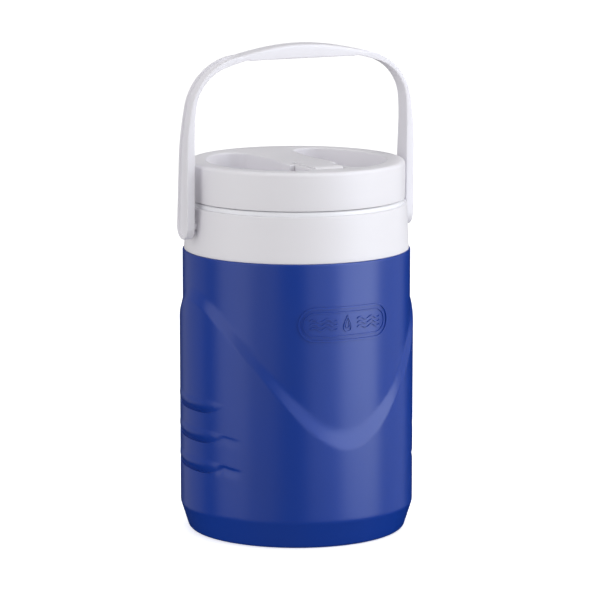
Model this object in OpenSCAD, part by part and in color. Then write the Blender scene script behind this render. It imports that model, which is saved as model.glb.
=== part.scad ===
// Insulated water jug: a foam-filled body with a screw lid, a flip-up drinking spout and a bail handle.
// Millimetres. The origin is the centre of the base, +Z is up, and the spout and the badge face -Y.

/* [Body] */
// Radius of the body at the top of its lower, wider zone
body_top_r = 90.4; // [89.9:0.1:90.8]
// Radius of the body just above its tapered foot
body_low_r = 90.2; // [89.8:0.1:90.5]
// Radius of the recessed upper panel
panel_r = 87.9; // [87.4:0.1:88.2]
// Height of the blue shell
shell_h = 219; // [216:1:222]
// Height at which the foot starts to taper
foot_h = 21; // [16:1:26]
// Radius of the flat ring that the jug stands on
foot_r = 80.2; // [78:0.2:81.4]
// Wall of the shell
shell_wall = 2.5; // [2:0.1:2.8]

/* [Moulded step] */
// Mean height of the step between the lower zone and the panel
step_mean_h = 136.5; // [132:0.5:140]
// How far the step swings below its mean at the front and above it at the sides
step_swing = 52.5; // [40:0.5:55]
// How far the step is raised between the front and the sides
step_pinch = 9; // [0:0.5:10]
// Height of the sloping face at the front
slope_front = 17; // [12:1:20]
// Height of the sloping face at the sides
slope_side = 11; // [8:1:14]

/* [Finger scoops] */
// Height of the straight upper edge of the highest scoop
scoop_top_h = 110.6; // [106:0.2:114]
// Distance from one scoop to the next
scoop_pitch = 23.4; // [20:0.2:26]
// Height of one scoop at its middle
scoop_h = 11; // [8:0.5:13]
// Half the width of one scoop
scoop_half_w = 39; // [30:1:44]
// Depth of one scoop at its lower edge
scoop_depth = 1.6; // [1:0.1:2]

/* [Badge] */
// Height of the badge's centre
badge_h = 173; // [168:1:178]
// Width of the badge
badge_w = 76; // [60:1:80]
// Height of the badge
badge_tall = 25; // [20:1:28]
// How far the badge's rim stands out
badge_relief = 0.5; // [0.3:0.1:0.7]

/* [Collar and liner] */
// Radius of the collar where it meets the shell
collar_low_r = 86.8; // [86.4:0.1:87]
// Radius of the collar at its top
collar_top_r = 85; // [84.6:0.1:85.4]
// Height of the collar's top
collar_top_h = 254.6; // [252:0.2:255]
// Inner radius of the liner and its neck
liner_r = 74; // [73.5:0.1:74.2]
// Height of the liner's floor
liner_floor_h = 16; // [14:1:20]
// Height of the neck's rim
neck_top_h = 274; // [273:0.2:274.4]
// Radius of the neck's outside, under the thread
neck_r = 77; // [76.6:0.1:77.2]

/* [Thread] */
// Rise of the thread in one turn
thread_lead = 12; // [11:0.5:13]
// Number of thread starts
thread_starts = 2; // [2:1:2]
// Angle that each thread ridge covers
thread_sweep = 200; // [160:10:220]

/* [Lid] */
// Outer radius of the lid
lid_r = 83.6; // [83.2:0.1:84]
// Height of the lid's lower edge
lid_low_h = 258.5; // [258.3:0.1:259]
// Height of the lid's top
lid_top_h = 287.5; // [286:0.5:289]
// Radius of the two finger wells
well_r = 69; // [67:0.5:69]
// Half the width of the bridge between the wells, at its ends
bridge_half_w = 19.6; // [19.4:0.1:20.4]
// How far each side of the bridge curves in at its waist
bridge_waist = 3.4; // [0.5:0.1:3.6]
// Radius of the wells' back corners
well_corner_r = 15; // [12:0.5:16]
// Depth of the wells
well_depth = 18; // [15:0.5:18]

/* [Spout] */
// Distance of the spout's hinge from the jug's axis
spout_axis_y = 54; // [53:0.5:54.5]
// Height of the spout's hinge
spout_axis_h = 282; // [281.5:0.5:282]
// Radius of the spout's drum
drum_r = 6.2; // [6:0.1:6.3]
// Radius of the drinking passage
passage_r = 3.5; // [3:0.1:3.6]
// Radius of the hinge trunnions
trunnion_r = 2.5; // [2:0.1:2.8]

/* [Handle] */
// Height of the handle's pivot
pivot_h = 241; // [239:0.5:242]
// Half the handle's width, over the arms
handle_half_w = 96.8; // [96.6:0.1:97.2]
// Thickness of the arms
arm_t = 6.6; // [6.4:0.1:6.8]
// Width of the arms, front to back, at the pivot
arm_low_w = 19.5; // [18:0.5:21]
// Width of the strap, front to back, over the top
strap_w = 14.5; // [14:0.5:16]
// Forward lean of the handle where friction leaves it
handle_lean = 2.5; // [0:0.5:4]
// Radius of the studs that the arms turn on
stud_r = 3.2; // [2.8:0.1:3.6]

/* [Hidden] */
$fn = 96;

blue = "#26397f";
white = "#e6e6ea";
foam_yellow = "#e8d9a8";
rubber_grey = "#8c9096";

fit_gap = 0.08;      // radial clearance of a pin in its hole
part_gap = 0.3;      // clearance between pieces that move past each other
cut = 1;             // how far a cutting shape runs past the face it cuts

foot_fillet = 4.5;
foot_recess_r = 62;
foot_recess_h = 2.5;
shell_floor_t = 3;
plug_hole_r = 12;
cavity_step_h = 60;
opening_r = panel_r - shell_wall;

step_segments = 90;
scoop_bend_r = 111;  // bend of a scoop's floor, flatter than the body so that its ends run out
collar_wall = 2.6;
spigot_h = 10;
boss_r = 6.5;
boss_face_x = 79.6;
boss_root_x = 84;
stud_head_r = stud_r + 1.2;
stud_head_t = 1.8;
liner_wall = 2.5;
liner_out_r = liner_r + liner_wall;
flange_r = 83;
flange_t = 3.3;
foam_top_h = 228;

thread_bite = 0.5;   // how deep a ridge is rooted in its wall
thread_root_w = 2.6;
thread_crest_w = 1.2;
neck_thread_h = 264.5;
lid_thread_drop = thread_lead / thread_starts / 2;
neck_crest_r = 79.2;
lid_crest_r = 78;
skirt_in_r = 80.9;
ridge_steps = 40;

waist_y = 12;
waist_half_l = 30;
block_half_w = 15.4; // the bridge is narrower beside the spout
block_back_y = -28;
front_corner_r = 10;
lid_plate_t = 2.3;
lid_edge_r = 3;
well_wall = 2.2;
well_floor_h = lid_top_h - well_depth;
pan_out_r = 73.2;
pan_wall = 1.8;
pan_floor_t = 2.2;
pan_flange_h = 277;
pan_flange_t = 2.5;
pan_flange_r = skirt_in_r - 0.3;

bay_floor_h = spout_axis_h - drum_r - 0.6;
bay_floor_t = 2;
bay_front_y = -spout_axis_y - 8.6;
bay_back_y = -16.7;
bay_half_w = 12.6;
drum_half_w = 11.6;
lever_half_w = 12.1;
lever_tip_y = -18.5;
lever_top_h = lid_top_h + 0.7;
lever_t = 3;
nozzle_r = 5.2;
trunnion_end_x = 14.2;
grommet_r = 7;
grommet_top_h = spout_axis_h - drum_r - part_gap;
grommet_t = 4;
port_r = 3.8;
port_wall = 2.4;

// Each side of the arch: height of the bend, bend radius, shoulder radius, turn of the arm, turn of the crown
outer_arch = [292.4, 229, 45.4, 10.2, 7.6];
inner_arch = [310.6, 221, 36, 5.4, 17.7];
channel_depth = 1.8;
channel_lip = 2.2;
taper_top_h = 319;
crown_rise = 3.9;
crown_half_w = 58;
grip_half_w = 46;
grip_low_h = 367.1;
grip_sag = 0.7;
insert_gap = 0.1;
insert_wall = 2.2;
pocket_depth = 2.6;

// ---------- outlines ----------

function arc(c, r, a0, a1, n) =
    [for (i = [0 : n]) c + r * [cos(a0 + (a1 - a0) * i / n), sin(a0 + (a1 - a0) * i / n)]];

function mirrored(points) =
    [for (i = [len(points) - 1 : -1 : 0]) [-points[i][0], points[i][1]]];

// The bridge's side, from the back to the front: straight at its ends, with a waist behind the middle.
function waisted_edge(edge_x, from_y, to_y) =
    [for (i = [1 : 16])
        let (y = from_y + (to_y - from_y) * i / 16,
             u = (y - waist_y) / waist_half_l)
        [edge_x - bridge_waist * pow(max(0, 1 - u * u), 1.5), y]];

// The centre of a corner that touches a circle about the origin from inside, and a line of constant x.
function corner_centre(r, edge_x, corner_r) =
    let (x = edge_x + corner_r)
    [x, sqrt(pow(r - corner_r, 2) - x * x)];

// The right-hand finger well seen from above: a disc cut off by the bridge, with rounded corners.
function well_outline(grow) =
    let (r = well_r + grow,
         wide_x = bridge_half_w - grow,
         narrow_x = block_half_w - grow,
         back_r = well_corner_r + grow,
         front_r = front_corner_r + grow,
         back = corner_centre(r, wide_x, back_r),
         front = corner_centre(r, narrow_x, front_r),
         back_a = atan2(back[1], back[0]),
         front_a = atan2(front[1], front[0]))
    concat(arc([0, 0], r, -front_a, back_a, 40),
           arc(back, back_r, back_a, 180, 10),
           waisted_edge(wide_x, back[1], block_back_y + grow),
           [[narrow_x, block_back_y + grow]],
           arc([front[0], -front[1]], front_r, 180, 360 - front_a, 10));

// Half of one side of the arch, from the arm up to the middle: a gentle bend, a shoulder and a crown.
function half_arch(x, shape, inset) =
    let (bend_c = [x - shape[1], shape[0]],
         bend_r = shape[1] - inset,
         shoulder_r = shape[2] - inset,
         bend_dir = [cos(shape[3]), sin(shape[3])],
         shoulder_c = bend_c + (bend_r - shoulder_r) * bend_dir,
         crown_a = 90 - shape[4],
         crown_dir = [cos(crown_a), sin(crown_a)],
         shoulder_end = shoulder_c + shoulder_r * crown_dir,
         crown_r = shoulder_end[0] / cos(crown_a),
         crown_c = shoulder_end - crown_r * crown_dir)
    concat([[x - inset, pivot_h - arm_low_w]],
           arc(bend_c, bend_r, 0, shape[3], 8),
           arc(shoulder_c, shoulder_r, shape[3], crown_a, 14),
           arc(crown_c, crown_r, crown_a, 90, 16));

function crown_lift(x) =
    abs(x) < crown_half_w ? crown_rise * pow(1 - pow(x / crown_half_w, 2), 1.5) : 0;

function raised(points) = [for (p = points) [p[0], p[1] + crown_lift(p[0])]];

function whole_arch(half) = concat(half, mirrored(half));

// The strap seen from the side: round at the pivot, and narrower towards the top.
function strap_side(inset) =
    let (low = arm_low_w / 2 - inset,
         top = strap_w / 2 - inset)
    concat(arc([0, pivot_h], low, 180, 360, 24),
           [[top, taper_top_h], [top, 400], [-top, 400], [-top, taper_top_h]]);

function step_h(a) = step_mean_h - step_swing * cos(2 * a) + step_pinch * pow(sin(2 * a) * cos(a), 2);
function slope_h(a) = (slope_front + slope_side) / 2 + (slope_front - slope_side) / 2 * cos(2 * a);

// ---------- shell ----------

// Everything above the moulded step and outside the panel, as a ring that is cut from the lower zone.
module step_cutter() {
    out_r = body_top_r + 1;
    in_r = panel_r - 0.5;
    run = body_top_r - panel_r;
    top = shell_h + 5;
    rows = [for (i = [0 : step_segments - 1])
        let (a = 360 * i / step_segments,
             low_z = step_h(a) - slope_h(a) * (0.5 + (out_r - body_top_r) / run),
             high_z = step_h(a) + slope_h(a) * (0.5 + (panel_r - in_r) / run),
             dir = [sin(a), -cos(a)])
        [[out_r * dir[0], out_r * dir[1], low_z], [out_r * dir[0], out_r * dir[1], top],
         [in_r * dir[0], in_r * dir[1], top], [in_r * dir[0], in_r * dir[1], high_z]]];
    faces = [for (i = [0 : step_segments - 1], k = [0 : 3])
        let (a = 4 * i + k,
             b = 4 * i + (k + 1) % 4,
             c = 4 * ((i + 1) % step_segments) + k,
             d = 4 * ((i + 1) % step_segments) + (k + 1) % 4)
        each [[a, b, c], [b, d, c]]];
    polyhedron([for (row = rows) each row], faces);
}

module lower_zone() {
    rotate_extrude()
        polygon(concat([[0, 0], [foot_r, 0]],
                       arc([foot_r, foot_fillet], foot_fillet, -90, -18, 6),
                       [[body_low_r, foot_h], [body_top_r, step_mean_h + step_swing], [body_top_r, shell_h],
                        [0, shell_h]]));
}

module panel_core() {
    translate([0, 0, cavity_step_h])
        cylinder(r = panel_r, h = shell_h - 1 - cavity_step_h);
    translate([0, 0, shell_h - 1])
        cylinder(r1 = panel_r, r2 = panel_r - 0.9, h = 1);
}

module shell_cavity() {
    floor_h = foot_recess_h + shell_floor_t;
    rotate_extrude()
        polygon([[0, floor_h], [foot_r + 1, floor_h], [foot_r + 4, floor_h + 3],
                 [body_low_r - shell_wall, foot_h + 1], [body_low_r - shell_wall, cavity_step_h],
                 [opening_r, cavity_step_h + 8], [opening_r, shell_h + cut], [0, shell_h + cut]]);
}

// One scoop: straight along the top, curved along the bottom, deepest at its lower edge.
module finger_scoop(top_h) {
    lens = [for (i = [0 : 24])
        let (u = i / 12 - 1)
        [scoop_half_w * u, top_h - scoop_h * (1 - u * u)]];
    low_r = scoop_bend_r;
    centre_x = body_low_r + 0.2 - scoop_depth - low_r;
    intersection() {
        rotate([90, 0, 90])
            linear_extrude(height = 110)
                polygon(lens);
        translate([centre_x, 0, top_h - scoop_h])
            difference() {
                cylinder(r = low_r + 12, h = scoop_h);
                cylinder(r1 = low_r, r2 = low_r + scoop_depth, h = scoop_h);
            }
    }
}

module pill(w, h) {
    square([w - h, h], center = true);
    for (x = [-1, 1])
        translate([x * (w - h) / 2, 0])
            circle(d = h);
}

// A plain pill-shaped rim that stands out from the front of the panel.
module badge_rim() {
    intersection() {
        translate([0, 0, badge_h])
            rotate([90, 0, 0])
                linear_extrude(height = 100)
                    difference() {
                        pill(badge_w, badge_tall);
                        pill(badge_w - 4, badge_tall - 4);
                    }
        translate([0, 0, badge_h - badge_tall])
            difference() {
                cylinder(r = panel_r + badge_relief, h = 2 * badge_tall);
                cylinder(r = panel_r - 1, h = 2 * badge_tall);
            }
    }
}

module outer_shell() {
    color(blue) {
        difference() {
            union() {
                panel_core();
                difference() {
                    lower_zone();
                    step_cutter();
                }
                badge_rim();
            }
            shell_cavity();
            for (side = [0, 180], i = [0 : 2])
                rotate([0, 0, side])
                    finger_scoop(scoop_top_h - i * scoop_pitch);
            translate([0, 0, -cut])
                cylinder(r = foot_recess_r, h = foot_recess_h + cut);
            cylinder(r = plug_hole_r, h = 20);
        }
    }
}

module base_plug() {
    floor_h = foot_recess_h + shell_floor_t;
    color(blue) {
        translate([0, 0, foot_recess_h - 1.2])
            cylinder(r = plug_hole_r + 3, h = 1.2);
        translate([0, 0, foot_recess_h])
            cylinder(r = plug_hole_r, h = shell_floor_t);
        translate([0, 0, floor_h])
            cylinder(r1 = plug_hole_r + 0.8, r2 = plug_hole_r - 1, h = 1.8);
    }
}

module body_foam() {
    floor_h = foot_recess_h + shell_floor_t;
    out = [[foot_r + 0.7, floor_h], [foot_r + 3.7, floor_h + 3], [body_low_r - shell_wall, foot_h + 1.3],
           [body_low_r - shell_wall, cavity_step_h - 0.3], [opening_r, cavity_step_h + 7.7],
           [opening_r, shell_h - spigot_h], [opening_r - collar_wall - 0.2, shell_h - spigot_h],
           [opening_r - collar_wall - 0.2, foam_top_h]];
    color(foam_yellow)
        difference() {
            rotate_extrude()
                polygon(concat([[0, floor_h]], out,
                               [[liner_out_r, foam_top_h], [liner_out_r, liner_floor_h - liner_wall],
                                [0, liner_floor_h - liner_wall]]));
            translate([0, 0, floor_h - cut])
                cylinder(r = plug_hole_r + 1, h = 1.8 + cut);
        }
}

// ---------- thread ----------

// Helical ridges from the root radius to the crest radius. A positive rise follows a right-hand thread.
module thread_ridges(wall_r, crest_r, start_h) {
    root_r = wall_r < crest_r ? wall_r - thread_bite : wall_r + thread_bite;
    for (s = [0 : thread_starts - 1])
        rotate([0, 0, 360 * s / thread_starts])
            thread_ridge(root_r, crest_r, start_h);
}

module thread_ridge(root_r, crest_r, start_h) {
    function fade(u) = max(0.05, min(1, 8 * min(u, 1 - u)));
    rows = [for (i = [0 : ridge_steps])
        let (u = i / ridge_steps,
             a = thread_sweep * u,
             z = start_h + thread_lead * a / 360,
             tip_r = root_r + (crest_r - root_r) * fade(u),
             dir = [cos(a), sin(a)])
        [[root_r * dir[0], root_r * dir[1], z - thread_root_w / 2],
         [tip_r * dir[0], tip_r * dir[1], z - thread_crest_w / 2],
         [tip_r * dir[0], tip_r * dir[1], z + thread_crest_w / 2],
         [root_r * dir[0], root_r * dir[1], z + thread_root_w / 2]]];
    last = 4 * ridge_steps;
    sides = [for (i = [0 : ridge_steps - 1], k = [0 : 3])
        let (a = 4 * i + k,
             b = 4 * i + (k + 1) % 4)
        each [[a, b, a + 4], [b, b + 4, a + 4]]];
    ends = [[0, 2, 1], [0, 3, 2], [last, last + 1, last + 2], [last, last + 2, last + 3]];
    faces = concat(sides, ends);
    polyhedron([for (row = rows) each row],
               root_r < crest_r ? faces : [for (f = faces) [f[0], f[2], f[1]]]);
}

// ---------- liner and collar ----------

module inner_liner() {
    corner = 8;
    low_h = liner_floor_h - liner_wall;
    color(white) {
        rotate_extrude()
            polygon(concat(
                [[0, low_h], [liner_out_r, low_h], [liner_out_r, collar_top_h - 4], [neck_r, collar_top_h - 3],
                 [neck_r, collar_top_h], [flange_r, collar_top_h], [flange_r, collar_top_h + flange_t - 0.8],
                 [flange_r - 0.8, collar_top_h + flange_t], [neck_r, collar_top_h + flange_t],
                 [neck_r, neck_top_h - 0.6], [neck_r - 0.6, neck_top_h], [liner_r + 0.6, neck_top_h],
                 [liner_r, neck_top_h - 0.6]],
                arc([liner_r - corner, liner_floor_h + corner], corner, 0, -90, 10),
                [[0, liner_floor_h]]));
        thread_ridges(neck_r, neck_crest_r, neck_thread_h);
    }
}

// A cylinder on each side of the jug, along the handle's pivot axis.
module pivot_pins(r, from_x, to_x) {
    for (side = [0, 180])
        rotate([0, 0, side])
            translate([from_x, 0, pivot_h])
                rotate([0, 90, 0])
                    cylinder(r = r, h = to_x - from_x);
}

module collar() {
    color(white) {
        difference() {
            union() {
                rotate_extrude()
                    polygon([[opening_r - collar_wall, shell_h - spigot_h], [opening_r, shell_h - spigot_h],
                             [opening_r, shell_h], [collar_low_r, shell_h],
                             [collar_top_r, collar_top_h - 1], [collar_top_r - 1, collar_top_h],
                             [neck_r, collar_top_h], [neck_r, collar_top_h - 2.8],
                             [collar_top_r - collar_wall - 1, collar_top_h - 2.8],
                             [collar_top_r - collar_wall, collar_top_h - 4],
                             [opening_r - collar_wall, shell_h + 4]]);
                pivot_pins(boss_r, boss_face_x, boss_root_x);
            }
            pivot_pins(stud_r + fit_gap, boss_face_x - cut, collar_low_r + cut);
        }
    }
}

// ---------- lid ----------

module both_wells(grow) {
    for (side = [0, 1])
        mirror([side, 0])
            polygon(well_outline(grow));
}

// The spout's bay seen from above.
module bay_outline(grow) {
    translate([-bay_half_w - grow, bay_front_y - grow])
        square([2 * (bay_half_w + grow), bay_back_y - bay_front_y + 2 * grow]);
}

module spout_port(r, low_h, high_h) {
    translate([0, -spout_axis_y, low_h])
        cylinder(r = r, h = high_h - low_h);
}

module hinge_line(r, half_w) {
    translate([-half_w, -spout_axis_y, spout_axis_h])
        rotate([0, 90, 0])
            cylinder(r = r, h = 2 * half_w);
}

module lid_cover() {
    color(white) {
        difference() {
            union() {
                rotate_extrude()
                    polygon(concat([[skirt_in_r, lid_low_h], [lid_r, lid_low_h]],
                                   arc([lid_r - lid_edge_r, lid_top_h - lid_edge_r], lid_edge_r, 0, 90, 8),
                                   [[0, lid_top_h], [0, lid_top_h - lid_plate_t],
                                    [skirt_in_r, lid_top_h - lid_plate_t]]));
                translate([0, 0, well_floor_h - well_wall])
                    linear_extrude(height = well_depth + well_wall - 0.5)
                        both_wells(well_wall);
                translate([0, 0, bay_floor_h - bay_floor_t])
                    linear_extrude(height = lid_top_h - 0.5 - bay_floor_h + bay_floor_t)
                        bay_outline(well_wall);
                spout_port(grommet_r + 2, grommet_top_h - grommet_t - 2, bay_floor_h);
                spout_port(port_r + port_wall, lid_low_h + pan_floor_t, bay_floor_h);
            }
            translate([0, 0, well_floor_h])
                linear_extrude(height = well_depth + cut)
                    both_wells(0);
            translate([0, 0, bay_floor_h])
                linear_extrude(height = 30)
                    bay_outline(0);
            spout_port(grommet_r, grommet_top_h - grommet_t, bay_floor_h + cut);
            spout_port(port_r, lid_low_h - cut, bay_floor_h);
            hinge_line(trunnion_r + fit_gap, trunnion_end_x + part_gap);
        }
        thread_ridges(skirt_in_r, lid_crest_r, neck_thread_h - lid_thread_drop);
    }
}

module lid_foam() {
    low_h = lid_low_h + pan_floor_t;
    gap = 0.5;
    color(foam_yellow)
        difference() {
            translate([0, 0, low_h])
                cylinder(r = pan_out_r - pan_wall - gap, h = lid_top_h - lid_plate_t - low_h);
            translate([0, 0, well_floor_h - well_wall])
                linear_extrude(height = 30)
                    both_wells(well_wall);
            translate([0, 0, bay_floor_h - bay_floor_t])
                linear_extrude(height = 30)
                    bay_outline(well_wall);
            spout_port(grommet_r + 2, grommet_top_h - grommet_t - 2, lid_top_h);
            spout_port(port_r + port_wall, low_h - cut, lid_top_h);
        }
}

// The plate under the lid: it plugs the neck, and its flange carries the gasket.
module lid_pan() {
    in_r = pan_out_r - pan_wall;
    color(white)
        difference() {
            rotate_extrude()
                polygon([[0, lid_low_h], [pan_out_r - 1.5, lid_low_h], [pan_out_r, lid_low_h + 1.5],
                         [pan_out_r, pan_flange_h], [pan_flange_r, pan_flange_h],
                         [pan_flange_r, pan_flange_h + pan_flange_t], [in_r, pan_flange_h + pan_flange_t],
                         [in_r, lid_low_h + pan_floor_t], [0, lid_low_h + pan_floor_t]]);
            spout_port(port_r, lid_low_h - cut, lid_low_h + pan_floor_t + cut);
        }
}

module lid_gasket() {
    low_h = neck_top_h + 0.15;
    color(rubber_grey)
        rotate_extrude()
            polygon([[pan_out_r + 0.2, low_h + 0.4], [pan_out_r + 0.6, low_h], [neck_r + 1, low_h],
                     [neck_r + 1.6, low_h + 0.6], [neck_r + 1.6, pan_flange_h], [pan_out_r + 0.2, pan_flange_h]]);
}

module spout_grommet() {
    color(rubber_grey)
        difference() {
            spout_port(grommet_r, grommet_top_h - grommet_t, grommet_top_h);
            spout_port(port_r, grommet_top_h - grommet_t - cut, grommet_top_h + cut);
        }
}

// ---------- spout ----------

module spout() {
    lever_low_h = lever_top_h - lever_t;
    color(white)
        difference() {
            union() {
                hinge_line(drum_r, drum_half_w);
                hinge_line(trunnion_r, trunnion_end_x);
                translate([-lever_half_w, -spout_axis_y, lever_low_h])
                    cube([2 * lever_half_w, spout_axis_y + lever_tip_y, lever_t]);
                translate([0, -spout_axis_y, spout_axis_h])
                    rotate([-90, 0, 0])
                        cylinder(r = nozzle_r, h = spout_axis_y + lever_tip_y);
            }
            translate([0, -spout_axis_y - drum_r - cut, spout_axis_h])
                rotate([-90, 0, 0])
                    cylinder(r = passage_r, h = spout_axis_y + lever_tip_y + drum_r + 2 * cut);
        }
}

// ---------- handle ----------

module lean() {
    translate([0, 0, pivot_h])
        rotate([handle_lean, 0, 0])
            translate([0, 0, -pivot_h])
                children();
}

// Everything between the grip's underside, which is a shallow arch raised by some height, and a level line.
module grip_band(raise, half_w, level_h) {
    edge = [for (i = [-8 : 8])
        let (x = half_w * i / 8)
        [x, grip_low_h + raise - grip_sag * pow(x / grip_half_w, 2)]];
    polygon(concat([[-half_w, level_h]], edge, [[half_w, level_h]]));
}

module arch_outer() {
    polygon(whole_arch(raised(half_arch(handle_half_w, outer_arch, 0))));
}

module arch_floor() {
    polygon(whole_arch(raised(half_arch(handle_half_w, outer_arch, channel_depth))));
}

// The void inside the handle: the arch's inner side, less the block that thickens the grip.
module arch_inner() {
    difference() {
        polygon(whole_arch(half_arch(handle_half_w - arm_t, inner_arch, 0)));
        grip_band(0, grip_half_w, grip_low_h + 12);
    }
}

module front_on(w) {
    translate([0, w / 2, 0])
        rotate([90, 0, 0])
            linear_extrude(height = w)
                children();
}

module side_on(inset) {
    translate([-110, 0, 0])
        rotate([90, 0, 90])
            linear_extrude(height = 220)
                polygon(strap_side(inset));
}

// The pocket under the grip, or with a gap the insert that fills it flush with the strap's edge.
module grip_pocket(gap) {
    pocket_half_l = grip_half_w - 2;
    front_on(strap_w - 2 * insert_wall - 2 * gap)
        difference() {
            grip_band(pocket_depth - gap, pocket_half_l - gap, grip_low_h - 5);
            if (gap > 0)
                grip_band(0, grip_half_w, grip_low_h - 6);
        }
}

// The studs that the arms turn on, each with a head behind the collar's boss.
module arm_studs() {
    head_x = boss_face_x - part_gap;
    pivot_pins(stud_r, head_x - stud_head_t, handle_half_w - arm_t + cut);
    pivot_pins(stud_head_r, head_x - stud_head_t, head_x);
}

module handle() {
    color(white)
        lean() {
            difference() {
                intersection() {
                    front_on(arm_low_w + 2)
                        difference() {
                            arch_outer();
                            arch_inner();
                        }
                    side_on(0);
                }
                difference() {
                    intersection() {
                        front_on(arm_low_w)
                            difference() {
                                translate([0, cut])
                                    arch_outer();
                                arch_floor();
                            }
                        side_on(channel_lip);
                    }
                    translate([-grip_half_w - 6, -20, 350])
                        cube([2 * grip_half_w + 12, 40, 50]);
                }
                grip_pocket(0);
            }
            arm_studs();
        }
}

module grip_insert() {
    color(white)
        lean()
            grip_pocket(insert_gap);
}

outer_shell();
base_plug();
body_foam();
inner_liner();
collar();
lid_cover();
lid_foam();
lid_pan();
spout_grommet();
lid_gasket();
spout();
handle();
grip_insert();
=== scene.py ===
"""Insulated water jug: a blue moulded body, a white screw lid with a flip-up spout, and a white bail handle.

Lengths are in millimetres until add_mesh() turns them into metres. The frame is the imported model's: the base
is centred on the origin, +Z is up, and the spout faces -Y. Angles round the jug are in degrees from -Y.
"""

import math

import bmesh
import bpy
import numpy as np
from mathutils import Matrix, Vector


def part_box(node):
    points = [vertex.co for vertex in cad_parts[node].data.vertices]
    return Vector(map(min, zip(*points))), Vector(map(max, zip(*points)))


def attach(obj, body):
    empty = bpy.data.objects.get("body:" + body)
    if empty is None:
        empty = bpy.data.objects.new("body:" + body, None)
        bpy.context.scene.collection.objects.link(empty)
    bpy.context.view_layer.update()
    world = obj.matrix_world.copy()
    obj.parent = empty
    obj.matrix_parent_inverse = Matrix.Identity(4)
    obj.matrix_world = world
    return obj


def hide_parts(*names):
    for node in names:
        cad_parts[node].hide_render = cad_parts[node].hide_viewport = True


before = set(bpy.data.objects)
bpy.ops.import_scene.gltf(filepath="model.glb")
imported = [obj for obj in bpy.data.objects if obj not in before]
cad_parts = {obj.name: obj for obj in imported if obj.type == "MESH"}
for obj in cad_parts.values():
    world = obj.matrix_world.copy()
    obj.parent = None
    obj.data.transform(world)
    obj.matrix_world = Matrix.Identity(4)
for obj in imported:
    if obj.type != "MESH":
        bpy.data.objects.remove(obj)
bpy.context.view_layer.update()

MM = 0.001

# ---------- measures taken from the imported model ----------


def lowest(node):
    """A CAD node's lowest corner, in millimetres."""
    return np.array(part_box(node)[0]) / MM


def highest(node):
    """A CAD node's highest corner, in millimetres."""
    return np.array(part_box(node)[1]) / MM


SHELL_H = highest("outer_shell")[2]
COLLAR_TOP_H = highest("collar")[2]
LID_R = highest("lid_cover")[0]
LID_LOW_H = lowest("lid_cover")[2]
LID_TOP_H = highest("lid_cover")[2]
LEVER_TOP_H = highest("spout")[2]
HANDLE_HALF = highest("handle")[0]

# ---------- mesh helpers ----------

QUARTER = math.pi / 2


def add_mesh(name, verts, faces, sharp_angle=38):
    """A closed mesh object from points in millimetres, smooth except over edges sharper than the angle."""
    mesh = bpy.data.meshes.new(name)
    mesh.from_pydata((np.asarray(verts, float) * MM).tolist(), [], faces)
    bm = bmesh.new()
    bm.from_mesh(mesh)
    bmesh.ops.remove_doubles(bm, verts=bm.verts, dist=2e-6)
    bmesh.ops.dissolve_degenerate(bm, edges=bm.edges, dist=1e-7)
    bmesh.ops.recalc_face_normals(bm, faces=bm.faces)
    for face in bm.faces:
        face.smooth = True
    bm.to_mesh(mesh)
    bm.free()
    mesh.set_sharp_from_angle(angle=math.radians(sharp_angle))
    obj = bpy.data.objects.new(name, mesh)
    bpy.context.scene.collection.objects.link(obj)
    return obj


def grid(rows, close_rows=False, close_columns=True):
    """Points and quads of a grid given as an array (row, column, xyz)."""
    rows = np.asarray(rows, float)
    n, m = rows.shape[:2]
    faces = []
    for i in range(n if close_rows else n - 1):
        a, b = i * m, (i + 1) % n * m
        for j in range(m if close_columns else m - 1):
            k = (j + 1) % m
            faces.append((a + j, a + k, b + k, b + j))
    return rows.reshape(-1, 3), faces


def joined(*parts):
    """One list of points and faces from several."""
    verts, faces, start = [], [], 0
    for v, f in parts:
        verts.append(np.asarray(v, float).reshape(-1, 3))
        faces += [tuple(i + start for i in face) for face in f]
        start += len(verts[-1])
    return np.concatenate(verts), faces


def moved(part, matrix):
    """A list of points and faces, with the points moved by a matrix."""
    verts, faces = part
    m = np.array(matrix)
    return np.asarray(verts) @ m[:3, :3].T + m[:3, 3], faces


def arc(cx, cy, r, a0, a1, n):
    """Points of an arc between two angles in degrees, ends included."""
    a = np.radians(np.linspace(a0, a1, n + 1))
    return np.stack([cx + r * np.cos(a), cy + r * np.sin(a)], 1)


def circle(r, n=256):
    """Points of a circle, each once."""
    a = np.linspace(0, 2 * np.pi, n, endpoint=False)
    return np.stack([r * np.cos(a), r * np.sin(a)], 1)


def lathe(profile, segments=160):
    """A closed profile of (radius, height) points turned round Z."""
    rows = [np.column_stack([circle(r, segments), np.full(segments, z)]) for r, z in profile]
    return grid(rows, close_rows=True)


def drilled(obj, drill):
    """The object with a closed shape cut out of it."""
    tool = add_mesh("drill", *drill)
    cut = obj.modifiers.new("cut", "BOOLEAN")
    cut.operation, cut.solver, cut.object = "DIFFERENCE", "EXACT", tool
    whole = obj.data
    obj.data = bpy.data.meshes.new_from_object(obj.evaluated_get(bpy.context.evaluated_depsgraph_get()))
    obj.modifiers.clear()
    bpy.data.objects.remove(tool)
    bpy.data.meshes.remove(whole)
    return obj


def ease(t, start=0, end=1):
    """A smooth rise from 0 at the start to 1 at the end."""
    t = np.clip((t - start) / (end - start), 0, 1)
    return t * t * (3 - 2 * t)


def from_front(a):
    """A direction in degrees from -Y, as x and y."""
    a = np.radians(a)
    return np.sin(a), -np.cos(a)


# ---------- shell ----------

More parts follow.
